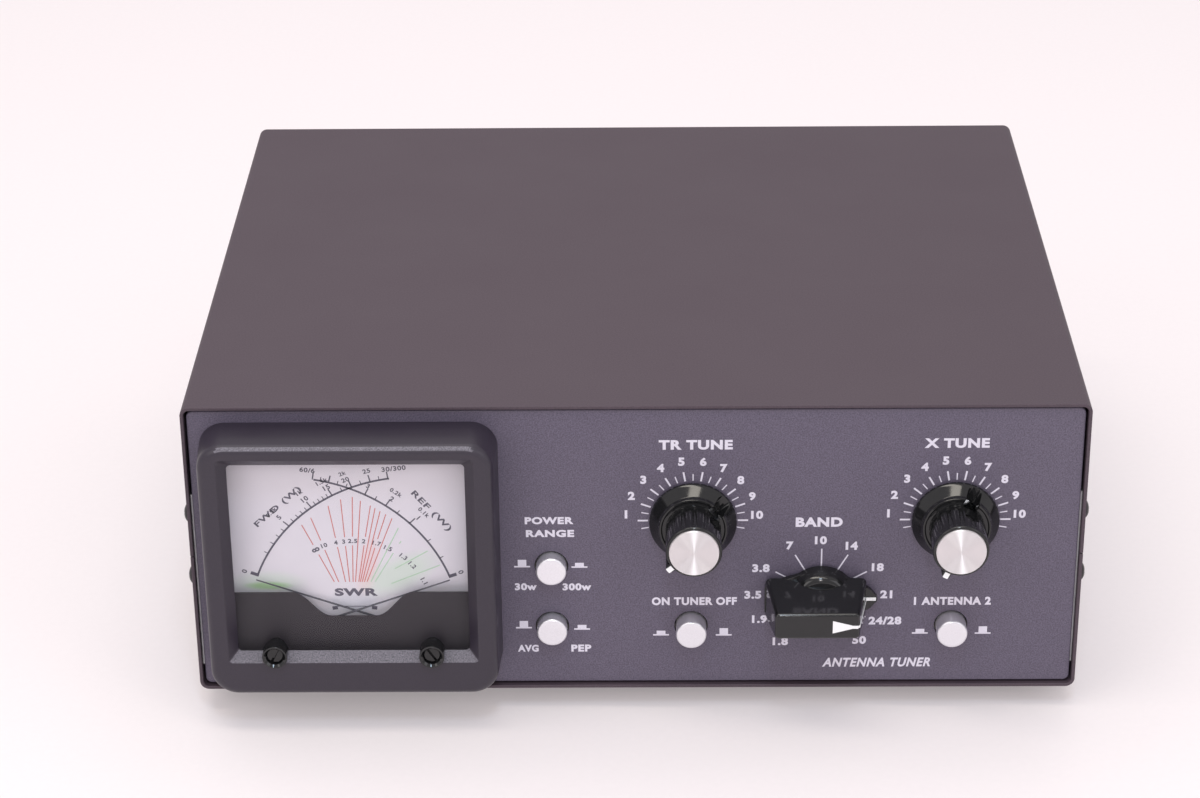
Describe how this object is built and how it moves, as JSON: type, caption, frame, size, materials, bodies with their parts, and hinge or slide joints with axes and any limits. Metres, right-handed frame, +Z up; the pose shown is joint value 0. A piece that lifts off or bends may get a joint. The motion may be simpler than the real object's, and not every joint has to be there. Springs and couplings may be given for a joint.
{
  "type": "antenna tuner",
  "caption": "Desktop antenna tuner: steel case, cross-needle power meter, two tuning knobs, a band switch, push buttons and rear coaxial sockets.",
  "frame": {"origin": "on the ground, at the middle of the whole tuner's box", "axes": "+X to the right seen from the front, +Y from the front panel to the back, +Z up"},
  "size_m": [0.254, 0.239, 0.0972],
  "materials": {
    "cover_paint": "matt grey-brown crackle paint",
    "panel_paint": "matt violet-grey textured paint",
    "chassis_steel": "zinc plated",
    "black_screw": "black oxide",
    "plated_screw": "zinc plated",
    "foot_rubber": "matt black",
    "bezel_plastic": "satin black with a fine grain",
    "window_glass": "clear acrylic",
    "mask_black": "matt black",
    "dial_card": "matt white with printed scales",
    "meter_black": "black moulding",
    "needle_black": "black lacquer",
    "magnet_iron": "bare",
    "lamp_glass": "clear bulb",
    "knob_black": "polished black",
    "cap_metal": "spun, turned rings",
    "mark_white": "white fill",
    "button_grey": "satin silver-grey",
    "plate_aluminium": "rolled",
    "ceramic_white": "unglazed steatite",
    "switch_plastic": "moulded",
    "coil_wire": "enamelled copper",
    "circuit_board": "green solder mask",
    "socket_nickel": "nickel plated",
    "socket_white": "white insulator",
    "contact_gold": "plated",
    "nut_brass": "cast"
  },
  "bodies": {
    "case": {"top_cover": "cover_paint", "bottom_cover": "cover_paint", "front_panel": "panel_paint", "rear_panel": "panel_paint", "left_rail": "chassis_steel", "right_rail": "chassis_steel", "deck": "chassis_steel", "cover_screws": "black_screw", "deck_screws": "plated_screw", "rubber_feet": "foot_rubber", "foot_fasteners": "plated_screw", "meter_bezel": "bezel_plastic", "meter_window": "window_glass", "meter_mask": "mask_black", "meter_dial": "dial_card", "meter_case": "meter_black", "meter_nuts": "plated_screw", "meter_lamps": "lamp_glass", "forward_movement": "magnet_iron", "reflected_movement": "magnet_iron", "tr_stator": "plate_aluminium", "tr_frame": "plate_aluminium", "x_stator": "plate_aluminium", "x_frame": "plate_aluminium", "stator_insulators": "ceramic_white", "band_switch": "chassis_steel", "band_wafers": "ceramic_white", "control_nuts": "plated_screw", "push_switches": "switch_plastic", "main_coil": "coil_wire", "toroid": "coil_wire", "meter_board": "circuit_board", "coax_sockets": "socket_nickel", "socket_insulators": "socket_white", "socket_contacts": "contact_gold", "rear_fittings": "plated_screw", "supply_jack": "switch_plastic"},
    "tr_tuner": {"tr_knob": "knob_black", "tr_knob_cap": "cap_metal", "tr_knob_mark": "mark_white", "tr_set_screw": "black_screw", "tr_rotor": "plate_aluminium"},
    "x_tuner": {"x_knob": "knob_black", "x_knob_cap": "cap_metal", "x_knob_mark": "mark_white", "x_set_screw": "black_screw", "x_rotor": "plate_aluminium"},
    "band_selector": {"band_knob": "knob_black", "band_knob_pointer": "mark_white", "band_rotor": "plate_aluminium"},
    "range_push": {"range_button": "button_grey"},
    "average_push": {"average_button": "button_grey"},
    "tuner_push": {"tuner_button": "button_grey"},
    "antenna_push": {"antenna_button": "button_grey"},
    "forward_pointer": {"forward_needle": "needle_black"},
    "reflected_pointer": {"reflected_needle": "needle_black"},
    "forward_zero": {"forward_zero_screw": "meter_black"},
    "reflected_zero": {"reflected_zero_screw": "meter_black"},
    "earth_clamp": {"earth_washer": "plated_screw"},
    "earth_nut": {"wing_nut": "nut_brass"}
  },
  "joints": [
    {"name": "tr_turn", "type": "hinge", "parent": "case", "child": "tr_tuner", "pos_m": [0.0159, -0.1, 0.061], "axis": [0, 1, 0], "continuous": true},
    {"name": "x_turn", "type": "hinge", "parent": "case", "child": "x_tuner", "pos_m": [0.0889, -0.1, 0.061], "axis": [0, 1, 0], "continuous": true},
    {"name": "band_turn", "type": "hinge", "parent": "case", "child": "band_selector", "pos_m": [0.052, -0.1, 0.037], "axis": [0, 1, 0], "range_deg": [-240, 60]},
    {"name": "range_slide", "type": "slide", "parent": "case", "child": "range_push", "axis": [0, 1, 0], "range_m": [-0.0018, 0.0005]},
    {"name": "average_slide", "type": "slide", "parent": "case", "child": "average_push", "axis": [0, 1, 0], "range_m": [-0.0018, 0.0005]},
    {"name": "tuner_slide", "type": "slide", "parent": "case", "child": "tuner_push", "axis": [0, 1, 0], "range_m": [0, 0.0023]},
    {"name": "antenna_slide", "type": "slide", "parent": "case", "child": "antenna_push", "axis": [0, 1, 0], "range_m": [0, 0.0023]},
    {"name": "forward_swing", "type": "hinge", "parent": "case", "child": "forward_pointer", "pos_m": [-0.0612, -0.1, 0.029], "axis": [0, 1, 0], "range_deg": [-1.5, 64], "stiffness_Nm_per_rad": 0.002},
    {"name": "reflected_swing", "type": "hinge", "parent": "case", "child": "reflected_pointer", "pos_m": [-0.0972, -0.1, 0.029], "axis": [0, -1, 0], "range_deg": [-1.5, 64], "stiffness_Nm_per_rad": 0.002},
    {"name": "forward_zero_turn", "type": "hinge", "parent": "case", "child": "forward_zero", "pos_m": [-0.0572, -0.1, 0.0263], "axis": [0, 1, 0], "range_deg": [-45, 45]},
    {"name": "reflected_zero_turn", "type": "hinge", "parent": "case", "child": "reflected_zero", "pos_m": [-0.1012, -0.1, 0.0263], "axis": [0, 1, 0], "range_deg": [-45, 45]},
    {"name": "earth_washer_slide", "type": "slide", "parent": "case", "child": "earth_clamp", "axis": [0, 1, 0], "range_m": [0, 0.0032]},
    {"name": "earth_nut_turn", "type": "hinge", "parent": "earth_clamp", "child": "earth_nut", "pos_m": [0.108, 0.11, 0.053], "axis": [0, 1, 0], "range_deg": [0, 1440]}
  ],
  "couplings": [
    {"joint": "earth_nut_turn", "follows": "earth_washer_slide", "rad_per_m": 7854}
  ]
}
